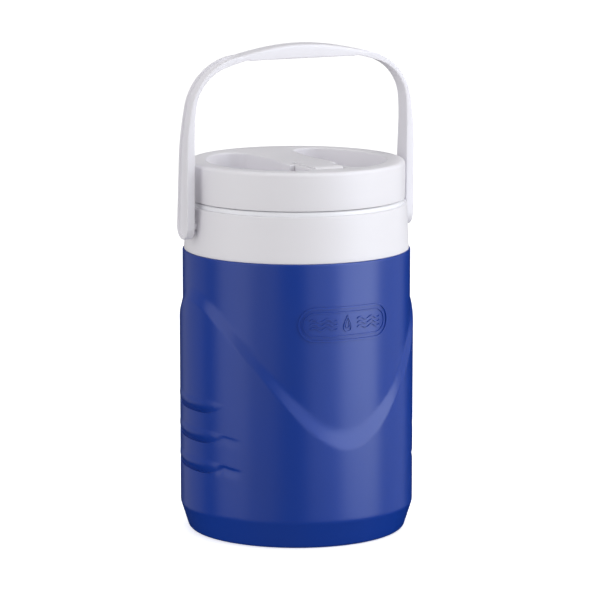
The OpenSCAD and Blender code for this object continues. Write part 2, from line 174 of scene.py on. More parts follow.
BODY_TOP_R, BODY_LOW_R, PANEL_R, RIM_EDGE = 90.4, 90.2, 87.9, 0.9
SHELL_WALL, SHELL_FLOOR_H = 2.5, 5.5
OPENING_R = PANEL_R - SHELL_WALL
FOOT_H, FOOT_R, FOOT_FILLET = 21, 80.2, 4.5
FOOT_RECESS_R, FOOT_RECESS_H, PLUG_HOLE_R = 62, 2.5, 12
SHELL_COLUMNS = 640

# The step's mean height, its swing down at the front and up at the sides, and a lift between the two
STEP_MEAN, STEP_SWING, STEP_PINCH = 136.5, 52.5, 9
# The height of its slope at the front and at the sides
SLOPE_FRONT, SLOPE_SIDE = 15, 11

SCOOP_TOPS = (63.8, 87.2, 110.6)
SCOOP_H, SCOOP_HALF_A = 11, 26
SCOOP_BULGE, SCOOP_DEPTH, LEDGE_H = 0.8, 1.7, 0.3
TAIL_DEPTHS = (0.8, 0.25, 0.0)  # the lowest scoop's tails are the deepest
TAIL_H, TAIL_DROP, TAIL_BLEND_H = 3, 3.2, 6

# Start and end of each fade or rise, in degrees from the scoops' middle
BULGE_FADE, DEPTH_FADE = (12, 28), (10, 22)
TAIL_RISE, TAIL_FADE = (20, 26), (29, 38)
DROP_RISE, DROP_FADE = (16, 38), (50, 80)


def scoop_height(off):
    """How far a scoop's lower edge is below its upper line, at an angle from its middle."""
    u = np.clip(off / SCOOP_HALF_A, 0, 1)
    return TAIL_H + (SCOOP_H - TAIL_H) * (1 - u**4)


def step_inset(a, z):
    """How far the moulded step sets the surface in, as a share of the way to the panel above it."""
    swing = np.cos(np.radians(2 * a))
    pinch = (np.sin(np.radians(2 * a)) * np.cos(np.radians(a))) ** 2
    middle = STEP_MEAN - STEP_SWING * swing + STEP_PINCH * pinch
    tall = (SLOPE_FRONT + SLOPE_SIDE) / 2 + (SLOPE_FRONT - SLOPE_SIDE) / 2 * swing
    t = (z - middle) / tall + 0.5
    knots = np.linspace(-0.2, 1.4, 161)
    slope = ease(knots, -0.05, 0.09) * (1 - ease(knots, 0.62, 1.17))
    share = np.concatenate([[0], np.cumsum((slope[1:] + slope[:-1]) / 2)])
    return np.interp(t, knots, share / share[-1])


def body_radius(z):
    """The body's radius below the step, which grows slightly from the foot up to the step's highest point."""
    return BODY_LOW_R + (BODY_TOP_R - BODY_LOW_R) * (z - FOOT_H) / (STEP_MEAN + STEP_SWING - FOOT_H)


def shell_rows():
    """The outer surface from the foot's edge to the top, as rows of points that follow the scoops' edges."""
    a = np.linspace(-180, 180, SHELL_COLUMNS, endpoint=False)
    off = np.abs(np.abs(a) - 90)
    bulge = SCOOP_BULGE * (1 - ease(off, *BULGE_FADE))
    depth = SCOOP_DEPTH * (1 - ease(off, *DEPTH_FADE))
    tail = ease(off, *TAIL_RISE) * (1 - ease(off, *TAIL_FADE))
    tail_drop = TAIL_DROP * ease(off, *DROP_RISE) * (1 - ease(off, *DROP_FADE))

    levels, offsets = [], []

    def add(z, offset):
        levels.append(z)
        offsets.append(offset)

    below = np.full_like(a, FOOT_H + 1.2)
    for level, tail_depth in zip(SCOOP_TOPS, TAIL_DEPTHS):
        top = level - tail_drop
        low = top - scoop_height(off)
        wall_rows = 13 if levels else 22
        for t in np.linspace(0, 1, wall_rows, endpoint=False):
            z = below + (low - LEDGE_H - below) * t
            add(z, -tail_depth * tail * (1 - ease(low - z, 0, TAIL_BLEND_H)))
        add(low - LEDGE_H, -tail_depth * tail)
        for v in np.linspace(1, 0, 15)[:-1]:
            out = bulge * math.sin(math.pi * min(1, v / 0.9))
            cut = depth * max(0, (v - 0.3) / 0.7) ** 1.4
            add(top - (top - low) * v, out - cut - tail_depth * tail * ease(v * 1.2))
        below = top
    for t in np.linspace(0, 1, 100):
        add(below + (SHELL_H - 1 - below) * t, np.zeros_like(a))

    x, y = from_front(a)
    rows = []
    for z, offset in zip(levels, offsets):
        r = body_radius(z)
        r = r + (PANEL_R - r) * step_inset(a, z) + offset
        rows.append(np.stack([r * x, r * y, z], 1))
    return rows


def shell():
    """The shell as one closed surface: up the outside from the plug's hole, then down the inside."""
    x, y = from_front(np.linspace(-180, 180, SHELL_COLUMNS, endpoint=False))

    def ring(r, z):
        return np.stack([r * x, r * y, np.full_like(x, z)], 1)

    low = [(r, FOOT_RECESS_H) for r in (PLUG_HOLE_R, FOOT_RECESS_R - 22, FOOT_RECESS_R - 1.5)]
    low += arc(FOOT_RECESS_R + 1, 1.2, 1.2, 150, 270, 5).tolist()
    low += arc(FOOT_R, FOOT_FILLET, FOOT_FILLET, -90, -18, 8).tolist()
    wall_r, wall_h = low[-1]
    slope = (BODY_LOW_R - wall_r) / (FOOT_H - wall_h)
    low += [(wall_r + slope * h, wall_h + h) for h in (4, 8, 12, 15.5)]
    low += [(BODY_LOW_R - slope * d + 0.02, FOOT_H - d) for d in (1.6, 1.0)]
    low += [(BODY_LOW_R - 0.17, FOOT_H - 0.35), (BODY_LOW_R - 0.06, FOOT_H + 0.3)]

    inner_r = BODY_LOW_R - SHELL_WALL
    high = arc(PANEL_R - RIM_EDGE, SHELL_H - RIM_EDGE, RIM_EDGE, 25, 90, 4).tolist()
    high += [(OPENING_R, SHELL_H), (OPENING_R, SHELL_H - 20), (OPENING_R, 68)]
    high += [(inner_r, 60), (inner_r, FOOT_H + 1), (FOOT_R + 4, SHELL_FLOOR_H + 3)]
    high += [(FOOT_R + 1, SHELL_FLOOR_H), (PLUG_HOLE_R, SHELL_FLOOR_H)]
    return grid([ring(*p) for p in low] + shell_rows() + [ring(*p) for p in high], close_rows=True)


BADGE_H, BADGE_RELIEF, BADGE_ROOT, LINE_EDGE = 173, 0.8, 0.3, 0.12
OUTER_PILL, OUTER_LINE, INNER_PILL, INNER_LINE = (76, 25), 1.4, (69, 18), 0.9
DROP_HEIGHTS, DROP_LINE = (12, 6.5), 0.9
WAVE_PLACES, WAVE_HEIGHTS = (-19, 19), (-3.2, 0, 3.2)
WAVE_LENGTH, WAVE_SWING, WAVE_LINE = 21, 1.1, 1.0


def raised_line(path, width, relief, closed=True):
    """A moulded line on the panel. Its path is (distance round the jug, height above the badge's centre)."""
    path = np.asarray(path, float)
    ahead = np.roll(path, -1, 0) - np.roll(path, 1, 0) if closed else np.gradient(path, axis=0)
    ahead /= np.linalg.norm(ahead, axis=1)[:, None]
    side = np.column_stack([-ahead[:, 1], ahead[:, 0]])
    half = width / 2
    section = [(-half, -BADGE_ROOT), (-half, relief * 0.7), (LINE_EDGE - half, relief)]
    section += [(-across, lift) for across, lift in section[::-1]]
    loops_round = []
    for across, lift in section:
        place = path + side * across
        x, y = from_front(np.degrees(place[:, 0] / PANEL_R))
        r = PANEL_R + lift
        loops_round.append(np.column_stack([r * x, r * y, BADGE_H + place[:, 1]]))
    n, m = len(section), len(path)
    verts, faces = grid(loops_round, close_rows=True, close_columns=closed)
    if not closed:
        faces += [tuple(i * m for i in range(n)), tuple(i * m + m - 1 for i in range(n))[::-1]]
    return verts, faces


def pill(width, height):
    """The outline of a bar with round ends."""
    r = height / 2
    half = width / 2 - r
    top = np.column_stack([np.linspace(half, -half, 30)[1:-1], np.full(28, r)])
    return np.concatenate([arc(half, 0, r, -90, 90, 20), top, arc(-half, 0, r, 90, 270, 20), -top])


def water_drop(height):
    """The outline of a water drop: a round bottom and a pointed top."""
    t = np.linspace(0, 2 * np.pi, 60, endpoint=False)
    return np.column_stack([0.36 * height * np.sin(t) * np.sin(t / 2) ** 1.5, 0.5 * height * np.cos(t)])


def wave(middle, height):
    """A wavy line of two periods."""
    x = np.linspace(-WAVE_LENGTH / 2, WAVE_LENGTH / 2, 40)
    return np.column_stack([middle + x, height + WAVE_SWING * np.sin(x / WAVE_LENGTH * 4 * np.pi)])


def badge():
    """A double pill-shaped outline round a drop between waves."""
    lines = [raised_line(pill(*OUTER_PILL), OUTER_LINE, BADGE_RELIEF)]
    lines += [raised_line(pill(*INNER_PILL), INNER_LINE, BADGE_RELIEF * 0.8)]
    lines += [raised_line(water_drop(height), DROP_LINE, BADGE_RELIEF) for height in DROP_HEIGHTS]
    lines += [raised_line(wave(middle, height), WAVE_LINE, BADGE_RELIEF, closed=False)
              for middle in WAVE_PLACES for height in WAVE_HEIGHTS]
    return joined(*lines)


body = add_mesh("jug_body", *joined(shell(), badge()), sharp_angle=34)
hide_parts("outer_shell")
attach(body, "jug")

# ---------- collar ----------

COLLAR_LOW_R, COLLAR_TOP_R, COLLAR_EDGE, COLLAR_FOOT_EDGE = 86.8, 85, 1.1, 0.5
COLLAR_WALL, COLLAR_TOP_T, SPIGOT_H, SPIGOT_R, NECK_R = 2.6, 2.8, 10, OPENING_R, 77
PIVOT_H = 241
BOSS_R, BOSS_FACE_X, BOSS_ROOT_X = 6.5, 79.6, 84
STUD_R, STUD_HEAD_R = 3.2, 4.4
SOCKET_R, SOCKET_FROM_X, SOCKET_TO_X = STUD_R + 0.08, 80, 90


def collar_profile():
    """The collar's section, from the spigot inside the shell up to the flat top round the neck."""
    foot_h, foot_r = SHELL_H + 0.05, COLLAR_LOW_R - COLLAR_FOOT_EDGE
    profile = [(SPIGOT_R - COLLAR_WALL, SHELL_H - SPIGOT_H), (SPIGOT_R, SHELL_H - SPIGOT_H)]
    profile += [(SPIGOT_R, foot_h), (foot_r, foot_h)]
    profile += arc(foot_r, foot_h + COLLAR_FOOT_EDGE, COLLAR_FOOT_EDGE, -90, 3, 4).tolist()
    profile += [(COLLAR_LOW_R + (COLLAR_TOP_R - COLLAR_LOW_R) * t, SHELL_H + (COLLAR_TOP_H - SHELL_H) * t)
                for t in np.linspace(0.1, 0.9, 6)]
    profile += arc(COLLAR_TOP_R - COLLAR_EDGE, COLLAR_TOP_H - COLLAR_EDGE, COLLAR_EDGE, 3, 90, 7).tolist()
    under_h, inner_r = COLLAR_TOP_H - COLLAR_TOP_T, COLLAR_TOP_R - COLLAR_WALL
    profile += [(NECK_R, COLLAR_TOP_H), (NECK_R, under_h), (inner_r - 1, under_h)]
    profile += [(inner_r, COLLAR_TOP_H - 4), (SPIGOT_R - COLLAR_WALL, SHELL_H + 4)]
    return profile


def pivot_line(part, side):
    """Turns a lathe about Z to lie along the handle's pivot axis, on one side of the jug."""
    place = Matrix.Translation((0, 0, PIVOT_H)) @ Matrix.Rotation(math.radians(90 * side), 4, "Y")
    return moved(part, place)


def boss(side):
    """A round boss inside the collar's wall, for a stud of the handle."""
    edge = 0.5
    profile = [(SOCKET_R, BOSS_ROOT_X), (BOSS_R, BOSS_ROOT_X)]
    profile += arc(BOSS_R - edge, BOSS_FACE_X + edge, edge, 0, -90, 4).tolist()
    profile += [(SOCKET_R + 0.3, BOSS_FACE_X), (SOCKET_R, BOSS_FACE_X + 0.3)]
    return pivot_line(lathe(profile, 64), side)


def socket(side):
    """The hole through the collar's wall for a stud."""
    profile = [(0, SOCKET_FROM_X), (SOCKET_R, SOCKET_FROM_X), (SOCKET_R, SOCKET_TO_X), (0, SOCKET_TO_X)]
    return pivot_line(lathe(profile, 48), side)


collar = drilled(add_mesh("collar_ring", *lathe(collar_profile(), 256)), joined(socket(1), socket(-1)))
bosses = add_mesh("collar_bosses", *joined(boss(1), boss(-1)))
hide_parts("collar")
for piece in (collar, bosses):
    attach(piece, "jug")

# ---------- lid ----------

LID_EDGE, SKIRT_IN_R, SKIRT_FOOT_EDGE, PLATE_T, LIP = 3, 80.9, 0.5, 2.3, 1.5
WELL_R, WELL_DEPTH, WELL_FILLET, BACK_CORNER, FRONT_CORNER = 69, 18, 5, 15, 10
BRIDGE_HALF, WAIST, WAIST_Y, WAIST_HALF = 19.6, 3.4, 12, 30
BLOCK_HALF, BLOCK_Y = 15.4, -28  # the bridge is narrower beside the spout
BAY_HALF, BAY_CORNER, BAY_FRONT_Y, BAY_BACK_Y, BAY_FLOOR_H = 12.6, 1.2, -62.6, -16.7, 275.2
SLOT_DEPTH = 7


def corner_centre(edge_x, radius):
    """The centre of a well's corner, and the direction in which it touches the well's round wall."""
    x = edge_x + radius
    y = math.sqrt((WELL_R - radius) ** 2 - x * x)
    return x, y, math.degrees(math.atan2(y, x))


def well_outline(grow, side):
    """A finger well from above: a disc cut off by the bridge, with its waist and its narrower front."""
    back_x, back_y, back_a = corner_centre(BRIDGE_HALF, BACK_CORNER)
    front_x, front_y, front_a = corner_centre(BLOCK_HALF, FRONT_CORNER)
    step_y = BLOCK_Y + grow
    y = np.linspace(back_y, step_y, 50)[1:]
    waist = WAIST * np.clip(1 - ((y - WAIST_Y) / WAIST_HALF) ** 2, 0, None) ** 1.5
    outline = np.concatenate([
        arc(0, 0, WELL_R + grow, -front_a, back_a, 70),
        arc(back_x, back_y, BACK_CORNER + grow, back_a, 180, 16)[1:],
        np.stack([BRIDGE_HALF - grow - waist, y], 1),
        [(BLOCK_HALF - grow, step_y), (BLOCK_HALF - grow, step_y - 4)],
        arc(front_x, -front_y, FRONT_CORNER + grow, 180, 360 - front_a, 16)[:-1],
    ])
    return outline * np.array([side, 1])


def rounded_rect(x0, x1, y0, y1, radius):
    """An outline function of a rectangle with rounded corners, for any growth."""

    def outline(grow):
        r = max(0.1, radius + grow)
        points = []
        for cx, cy, start in ((x1, y1, 0), (x0, y1, 90), (x0, y0, 180), (x1, y0, 270)):
            px = cx + grow - r if cx == x1 else cx - grow + r
            py = cy + grow - r if cy == y1 else cy - grow + r
            points.append(arc(px, py, r, start, start + 90, 6))
        return np.concatenate(points)

    return outline


bay_outline = rounded_rect(-BAY_HALF, BAY_HALF, BAY_FRONT_Y, BAY_BACK_Y, BAY_CORNER)


def loops(outline, profile):
    """Closed loops of an outline at several (growth, height) pairs."""
    return [np.column_stack([outline(g), np.full(len(outline(g)), z)]) for g, z in profile]


def filled(boundaries, z):
    """A flat face at height z inside the first boundary and outside the others, as triangles."""
    bm = bmesh.new()
    for points in boundaries:
        ring = [bm.verts.new((p[0], p[1], z)) for p in points]
        for i, v in enumerate(ring):
            bm.edges.new((v, ring[(i + 1) % len(ring)]))
    bmesh.ops.triangle_fill(bm, edges=bm.edges, use_beauty=True, normal=(0, 0, 1))
    bm.verts.index_update()
    part = [tuple(v.co) for v in bm.verts], [tuple(v.index for v in f.verts) for f in bm.faces]
    bm.free()
    return part


def pocket(outline, profile):
    """Walls down to a floor."""
    rows = loops(outline, profile)
    return joined(grid(rows), filled([rows[-1][:, :2]], profile[-1][1]))


def pad(outline, low, high, edge):
    """A slab with rounded edges above and below."""
    t = np.linspace(0, QUARTER, 5)
    profile = [(-edge * (1 - math.sin(s)), low + edge * (1 - math.cos(s))) for s in t]
    profile += [(-edge * (1 - math.cos(s)), high - edge * (1 - math.sin(s))) for s in t]
    rows = loops(outline, profile)
    return joined(grid(rows), filled([rows[0][:, :2]], low), filled([rows[-1][:, :2]], high))


def rounded_rim(grow, top_h, r, steps):
    """The rounded upper edge of a pocket's wall, as (growth, height) pairs from the flat face inwards."""
    return [(grow + r * (1 - math.sin(t)), top_h - r * (1 - math.cos(t)))
            for t in np.linspace(0, QUARTER, steps)]


def lid_skin(top_h, out_r, rim, well_grow, bay_grow, depth):
    """One face of the lid's shell: the plate, both wells and the spout's bay, set lower by a depth."""
    floor_h = LID_TOP_H - WELL_DEPTH - depth
    well = rounded_rim(well_grow, top_h, rim, 7)
    well += [(well_grow - 0.3, top_h - 6), (well_grow - 0.5, floor_h + WELL_FILLET + 1)]
    well += [(well_grow - 0.6 - WELL_FILLET * (1 - math.cos(t)), floor_h + WELL_FILLET * (1 - math.sin(t)))
             for t in np.linspace(0, QUARTER, 9)]
    bay_floor = BAY_FLOOR_H - depth
    bay = rounded_rim(bay_grow, top_h, rim * 0.4, 5)
    bay += [(bay_grow, bay_floor + 0.8), (bay_grow - 0.3, bay_floor + 0.2), (bay_grow - 0.9, bay_floor)]
    holes = [well_outline(well[0][0], 1), well_outline(well[0][0], -1), bay_outline(bay[0][0])]
    parts = [filled([circle(out_r)] + holes, top_h)]
    for side in (1, -1):
        parts.append(pocket(lambda g, side=side: well_outline(g, side), well))
    parts.append(pocket(bay_outline, bay))
    return parts


def lid():
    """The lid's cover: its skirt, an outer skin and an inner skin."""
    edge_in = LID_R - LID_EDGE
    profile = arc(edge_in, LID_TOP_H - LID_EDGE, LID_EDGE, 90, 0, 10).tolist()
    profile += [(LID_R, h) for h in (275, 266)]  # rows on the straight wall
    profile += arc(LID_R - SKIRT_FOOT_EDGE, LID_LOW_H + SKIRT_FOOT_EDGE, SKIRT_FOOT_EDGE, 0, -90, 4).tolist()
    profile += [(SKIRT_IN_R + 0.4, LID_LOW_H), (SKIRT_IN_R, LID_LOW_H + 0.6)]
    profile += [(SKIRT_IN_R, LID_TOP_H - PLATE_T)]
    skirt = [np.column_stack([circle(r), np.full(256, z)]) for r, z in profile]
    outer = lid_skin(LID_TOP_H, edge_in, LIP, 0, 0, 0)
    inner = lid_skin(LID_TOP_H - PLATE_T, SKIRT_IN_R, 0.3, 1.1, 0.8, 1.5)
    return joined(grid(skirt), *outer, *inner)


def slot(side):
    """A narrow slot between the bridge's end and the block that holds the spout, on one side."""
    x = side * (BLOCK_HALF + 0.05)
    outline = rounded_rect(x - 1.5, x + 1.5, BLOCK_Y - 1.3, BLOCK_Y - 0.1, 0.1)
    return pad(outline, LID_TOP_H - SLOT_DEPTH, LID_TOP_H + 1, 0.05)


lid_obj = drilled(add_mesh("lid_cover_shell", *lid()), joined(slot(1), slot(-1)))
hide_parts("lid_cover")
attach(lid_obj, "lid")

# ---------- spout ----------

HINGE_Y, HINGE_H = -54, 282
LEVER_HALF, LEVER_TIP_Y, LEVER_T, LEVER_CORNER, LEVER_EDGE = 12.1, -18.5, 3, 3.5, 0.7
DRUM_R, DRUM_HALF, DRUM_EDGE = 6.2, 11.6, 0.6
TUBE_R, TUBE_BORE_R = 5.2, 3.5


def along(axis, centre):
    """Turns a lathe's Z axis to lie along X or Y, through a centre."""
    angle, about = (90, "Y") if axis == "X" else (-90, "X")
    return Matrix.Translation(centre) @ Matrix.Rotation(math.radians(angle), 4, about)


def spout():
    """The flip-up spout: a lever with a drum at its hinge and a drinking tube under it."""
    hinge = (0, HINGE_Y, HINGE_H)
    outline = rounded_rect(-LEVER_HALF, LEVER_HALF, HINGE_Y + 1, LEVER_TIP_Y, LEVER_CORNER)
    lever = pad(outline, LEVER_TOP_H - LEVER_T, LEVER_TOP_H, LEVER_EDGE)

    flat = DRUM_HALF - DRUM_EDGE
    drum = [(0.01, -DRUM_HALF)] + arc(DRUM_R - DRUM_EDGE, -flat, DRUM_EDGE, -90, 0, 4).tolist()
    drum += arc(DRUM_R - DRUM_EDGE, flat, DRUM_EDGE, 0, 90, 4).tolist() + [(0.01, DRUM_HALF)]

    tip = LEVER_TIP_Y - HINGE_Y
    tube = [(TUBE_BORE_R, 0), (TUBE_R, 0), (TUBE_R, tip - 0.8), (TUBE_R - 0.6, tip - 0.1)]
    tube += [(TUBE_BORE_R + 0.4, tip - 0.1), (TUBE_BORE_R, tip - 0.5)]
    return joined(lever, moved(lathe(drum, 64), along("X", hinge)), moved(lathe(tube, 64), along("Y", hinge)))


spout_obj = add_mesh("flip_spout", *spout())
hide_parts("spout")
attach(spout_obj, "spout")

# ---------- handle ----------

ARM_T, ARM_W, STRAP_W, TAPER_TOP_H = 6.6, 19.5, 14.5, 319
HANDLE_LEAN = 2.5
# Each side of the arch: height of the bend, bend radius, shoulder radius, turn of the arm, turn of the crown
OUTER_ARCH = (292.4, 229, 45.4, 10.2, 7.6)
INNER_ARCH = (310.6, 221, 36, 5.4, 17.7)
ARM_ROWS, INNER_FINE, INNER_ARM_ROWS = 14, 20, 800
CROWN_RISE, CROWN_HALF = 3.9, 58
GRIP_HALF, GRIP_LOW_H, GRIP_SAG = 46, 367.1, 0.7
CHANNEL_DEPTH, CHANNEL_LIP, CHANNEL_END_X, CHANNEL_FADE = 1.8, 2.2, 50, 10
STRAP_EDGE, TOP_ROUNDING, TOP_LIP = 0.7, 1.5, 0.6
END_ROWS = 20  # points of the half round at each end of the strap
STRIP_T, STRIP_EDGE, STRIP_CORNER, STRIP_PROUD = 2.4, 0.35, 1.5, 0.1


def half_arch(x, shape, fine=1):
    """Half of one side of the arch, from the pivot's height up to the middle, as (x, z) points."""
    bend_h, bend_r, shoulder_r, arm_turn, crown_turn = shape
    bend = np.array([x - bend_r, bend_h])
    arm_a, crown_a = math.radians(arm_turn), math.radians(90 - crown_turn)
    shoulder = bend + (bend_r - shoulder_r) * np.array([math.cos(arm_a), math.sin(arm_a)])
    crown_dir = np.array([math.cos(crown_a), math.sin(crown_a)])
    shoulder_end = shoulder + shoulder_r * crown_dir
    crown_r = shoulder_end[0] / crown_dir[0]
    crown = shoulder_end - crown_r * crown_dir
    return np.concatenate([
        np.column_stack([np.full(ARM_ROWS, x), np.linspace(PIVOT_H, bend_h, ARM_ROWS, endpoint=False)]),
        arc(*bend, bend_r, 0, arm_turn, 16 * fine)[:-1],
        arc(*shoulder, shoulder_r, arm_turn, 90 - crown_turn, 34 * fine)[:-1],
        arc(*crown, crown_r, 90 - crown_turn, 90, 60 * fine),
    ])


def arch(points):
    """The whole arch, from the right-hand pivot over the top to the left-hand one."""
    mirror = points[:-1][::-1] * np.array([-1, 1])
    return np.concatenate([points, mirror])


def handle_curves():
    """The arch's outer points, and for each one the nearest point of the inner side."""
    out = half_arch(HANDLE_HALF, OUTER_ARCH)
    rise = CROWN_RISE * np.clip(1 - (out[:, 0] / CROWN_HALF) ** 2, 0, None) ** 1.5
    out[:, 1] += np.where(out[:, 1] > TAPER_TOP_H, rise, 0)
    bent = half_arch(HANDLE_HALF - ARM_T, INNER_ARCH, INNER_FINE)
    straight_z = np.linspace(PIVOT_H, INNER_ARCH[0], INNER_ARM_ROWS)
    straight = np.column_stack([np.full(INNER_ARM_ROWS, bent[0, 0]), straight_z])
    inner = np.concatenate([straight, bent[ARM_ROWS:]])
    grip = GRIP_LOW_H - GRIP_SAG * (inner[:, 0] / GRIP_HALF) ** 2
    inner[:, 1] -= ease(GRIP_HALF + 1 - inner[:, 0], 0, 2) * np.clip(inner[:, 1] - grip, 0, None)
    nearest = [np.argmin(np.hypot(*(inner - p).T)) for p in out]
    return arch(out), arch(inner[nearest])


def strap_width(z):
    """The strap's width, which tapers from the pivot up to the shoulder."""
    t = np.clip((z - PIVOT_H) / (TAPER_TOP_H - PIVOT_H), 0, 1)
    return ARM_W + (STRAP_W - ARM_W) * t


def handle_loop(out, inn, inset, share, sink):
    """A closed loop round the strap: inset from its edge, at a share of its thickness and sunk below that."""
    inset = inset + np.zeros(len(out))
    width = strap_width(out[:, 1]) / 2 - inset
    through = out - inn
    thick = np.linalg.norm(through, axis=1)
    place = inn + through * (share - sink / thick)[:, None]
    front = np.column_stack([place[:, 0], -width, place[:, 1]])
    back = np.column_stack([place[:, 0], width, place[:, 1]])[::-1]

    def end(k, way):
        """The half round of the strap's end below the pivot."""
        r = ARM_W / 2 - inset[k]
        a = np.radians(np.linspace(0, 180, END_ROWS + 2)[1:-1])
        x, z = place[k]
        return np.column_stack([np.full(len(a), x), way * np.cos(a) * r, z - r * np.sin(a)])

    return np.concatenate([front, end(-1, -1), back, end(0, 1)])


def strap():
    """The strap as loops from the floor of its outer channel, over its edges, to its inner face."""
    out, inn = handle_curves()
    n = len(out)
    zero, one = np.zeros(n), np.ones(n)
    on_top = 1 - ease(np.abs(out[:, 0]), CHANNEL_END_X, CHANNEL_END_X + CHANNEL_FADE)
    over_top = np.where(out[:, 1] > TAPER_TOP_H, on_top, 0)
    channel = CHANNEL_DEPTH * (1 - over_top)
    soft = STRAP_EDGE + TOP_ROUNDING * over_top
    lip = CHANNEL_LIP + TOP_LIP * over_top
    quarter = np.linspace(0, QUARTER, 6)
    spec = [(lip + 0.9, one, channel), (lip + 0.55, one, channel * 0.97), (lip + 0.3, one, channel * 0.8)]
    spec += [(lip + 0.1, one, channel * 0.25), (lip, one, channel * 0.06)]
    spec += [(soft * (1 - math.sin(q)), one, soft * (1 - math.cos(q))) for q in quarter]
    spec += [(0, 0.5 * one, zero)]
    spec += [(STRAP_EDGE * (1 - math.cos(q)), zero, zero - STRAP_EDGE * (1 - math.sin(q))) for q in quarter]
    rows = [handle_loop(out, inn, *part) for part in spec]
    verts, faces = grid(rows)
    m = len(rows[0])
    half_end = END_ROWS // 2
    one_side = list(range(m - half_end, m)) + list(range(n + half_end))
    other_side = list(range(n + half_end, m - half_end))[::-1]
    for base in (0, (len(rows) - 1) * m):
        faces += [(base + one_side[i], base + one_side[i + 1], base + other_side[i + 1], base + other_side[i])
                  for i in range(m // 2 - 1)]
    return verts, faces


def stud(side):
    """A stud that turns in the collar, with a head behind its boss."""
    head_x, arm_x = BOSS_FACE_X - 0.3, HANDLE_HALF - ARM_T
    profile = [(0.01, head_x - 1.8), (STUD_HEAD_R - 0.6, head_x - 1.8), (STUD_HEAD_R, head_x - 0.9)]
    profile += [(STUD_HEAD_R, head_x), (STUD_R, head_x), (STUD_R, arm_x - 0.6)]
    profile += [(STUD_R + 0.8, arm_x + 0.1), (STUD_R + 0.8, arm_x + 1), (0.01, arm_x + 1)]
    return pivot_line(lathe(profile, 48), side)


def strip():
    """The strip that fills the underside of the grip."""
    half_l, half_w = GRIP_HALF - 2.1, STRAP_W / 2 - 2.3
    outline = rounded_rect(-half_l, half_l, -half_w, half_w, STRIP_CORNER)
    verts, faces = pad(outline, 0, STRIP_T, STRIP_EDGE)
    verts = np.array(verts)
    verts[:, 2] += GRIP_LOW_H - GRIP_SAG * (verts[:, 0] / GRIP_HALF) ** 2 - STRIP_PROUD
    return verts, faces


lean = (Matrix.Translation((0, 0, PIVOT_H)) @ Matrix.Rotation(math.radians(HANDLE_LEAN), 4, "X")
        @ Matrix.Translation((0, 0, -PIVOT_H)))

handle = add_mesh("bail_handle", *moved(joined(strap(), stud(1), stud(-1)), lean))
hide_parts("handle")
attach(handle, "handle")

grip = add_mesh("grip_strip", *moved(strip(), lean))
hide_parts("grip_insert")
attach(grip, "handle")

# ---------- materials ----------


def srgb(r, g, b):
    """A colour given as 0 to 255 in sRGB, as the linear values that a shader takes."""
    return tuple(((c / 255 + 0.055) / 1.055) ** 2.4 if c > 10 else c / 255 / 12.92 for c in (r, g, b)) + (1,)


def plastic(name, colour, shade, roughness, grain=0.06, grain_mm=0.9, shine=0.5):
    """Moulded plastic: a fine grain, faint flow clouds, slightly paler worn edges and uneven gloss."""
    mat = bpy.data.materials.new(name)
    mat.use_nodes = True
    nodes, links = mat.node_tree.nodes, mat.node_tree.links
    nodes.clear()
    out = nodes.new("ShaderNodeOutputMaterial")
    bsdf = nodes.new("ShaderNodeBsdfPrincipled")
    bsdf.inputs["Specular IOR Level"].default_value = shine
    links.new(bsdf.outputs[0], out.inputs[0])
    place = nodes.new("ShaderNodeTexCoord")

    def noise(scale, detail):
        made = nodes.new("ShaderNodeTexNoise")
        made.inputs["Scale"].default_value = scale
        made.inputs["Detail"].default_value = detail
        links.new(place.outputs["Object"], made.inputs["Vector"])
        return made.outputs["Fac"]

    def mixed(share, a, b):
        made = nodes.new("ShaderNodeMix")
        made.data_type = "RGBA"
        links.new(share, made.inputs["Factor"])
        if isinstance(a, bpy.types.NodeSocket):
            links.new(a, made.inputs["A"])
        else:
            made.inputs["A"].default_value = a
        made.inputs["B"].default_value = b
        return made.outputs["Result"]

    clouds = noise(14, 5)
    flow = mixed(clouds, colour, shade)
    edge = nodes.new("ShaderNodeNewGeometry")
    ramp = nodes.new("ShaderNodeMapRange")
    ramp.inputs["From Min"].default_value = 0.52
    ramp.inputs["From Max"].default_value = 0.62
    ramp.inputs["To Max"].default_value = 0.25
    links.new(edge.outputs["Pointiness"], ramp.inputs["Value"])
    paler = tuple(min(1, c * 1.25 + 0.02) for c in colour[:3]) + (1,)
    links.new(mixed(ramp.outputs["Result"], flow, paler), bsdf.inputs["Base Color"])

    rough = nodes.new("ShaderNodeMapRange")
    rough.inputs["To Min"].default_value = roughness - 0.05
    rough.inputs["To Max"].default_value = roughness + 0.05
    links.new(clouds, rough.inputs["Value"])
    links.new(rough.outputs["Result"], bsdf.inputs["Roughness"])

    bump = nodes.new("ShaderNodeBump")
    bump.inputs["Strength"].default_value = grain
    bump.inputs["Distance"].default_value = 0.0004
    links.new(noise(1000 / grain_mm / 2, 3), bump.inputs["Height"])
    links.new(bump.outputs["Normal"], bsdf.inputs["Normal"])
    return mat


BLUE = plastic("blue_plastic", srgb(5, 53, 148), srgb(4, 50, 138), 0.3)
WHITE = plastic("white_plastic", srgb(228, 226, 230), srgb(222, 220, 225), 0.4, shine=0.3)
HANDLE_WHITE = plastic("handle_plastic", srgb(228, 226, 231), srgb(222, 220, 226), 0.38, shine=0.4)
LINER = plastic("liner_plastic", srgb(238, 238, 242), srgb(232, 232, 237), 0.3)
FOAM = plastic("rigid_foam", srgb(230, 214, 160), srgb(214, 196, 138), 0.9, grain=0.6, grain_mm=2.5)
RUBBER = plastic("seal_rubber_grey", srgb(120, 124, 130), srgb(105, 109, 116), 0.6, grain=0.15)

